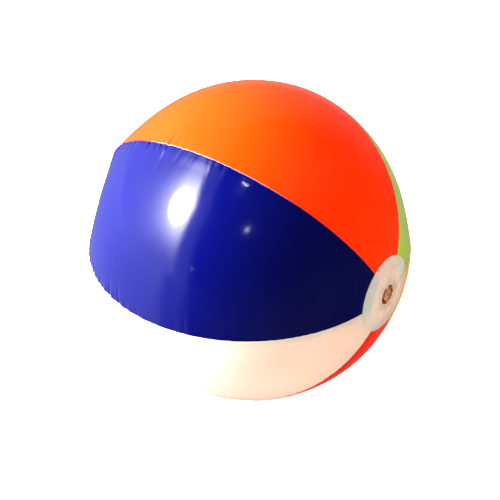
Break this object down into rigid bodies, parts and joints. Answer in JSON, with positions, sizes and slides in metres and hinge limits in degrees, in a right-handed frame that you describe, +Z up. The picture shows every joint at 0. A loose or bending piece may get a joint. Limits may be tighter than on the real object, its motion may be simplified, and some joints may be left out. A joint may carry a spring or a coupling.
{
  "type": "inflatable beach ball",
  "caption": "Inflatable ball of coloured film gores with an end disc at each pole and a push-in valve: sliding tube, hinged stopper, check flap.",
  "frame": {"origin": "the ball's centre when inflated", "axes": "+X is the polar axis, out through the valve; +Z is up; gore angles turn around +X from +Z"},
  "size_m": [0.2603, 0.26, 0.26],
  "materials": {
    "orange_film": "glossy translucent PVC film",
    "blue_film": "glossy translucent PVC film",
    "white_film": "glossy PVC film",
    "red_film": "glossy translucent PVC film",
    "yellow_film": "glossy translucent PVC film",
    "green_film": "glossy translucent PVC film",
    "disc_film": "milky translucent PVC film",
    "valve_vinyl": "soft clear vinyl"
  },
  "bodies": {
    "ball": {"gore_orange": "orange_film", "gore_blue": "blue_film", "gore_white": "white_film", "gore_red": "red_film", "gore_yellow": "yellow_film", "gore_green": "green_film", "valve_disc": "disc_film", "rear_disc": "disc_film", "valve_flange": "valve_vinyl", "valve_skirt": "valve_vinyl"},
    "tube": {"valve_tube": "valve_vinyl", "stopper_strap": "valve_vinyl"},
    "stopper": {"stopper": "valve_vinyl"},
    "flap": {"check_flap": "valve_vinyl"}
  },
  "joints": [
    {"name": "valve_slide", "type": "slide", "parent": "ball", "child": "tube", "axis": [1, 0, 0], "range_m": [0, 0.014], "deforming": ["valve_skirt"]},
    {"name": "stopper_hinge", "type": "hinge", "parent": "tube", "child": "stopper", "pos_m": [0.12865, 0, 0.00715], "axis": [0, -1, 0], "range_deg": [0, 105], "deforming": ["stopper_strap"]},
    {"name": "flap_hinge", "type": "hinge", "parent": "tube", "child": "flap", "pos_m": [0.1154, 0, 0.0041], "axis": [0, 1, 0], "range_deg": [0, 50], "stiffness_Nm_per_rad": 0.0002}
  ]
}
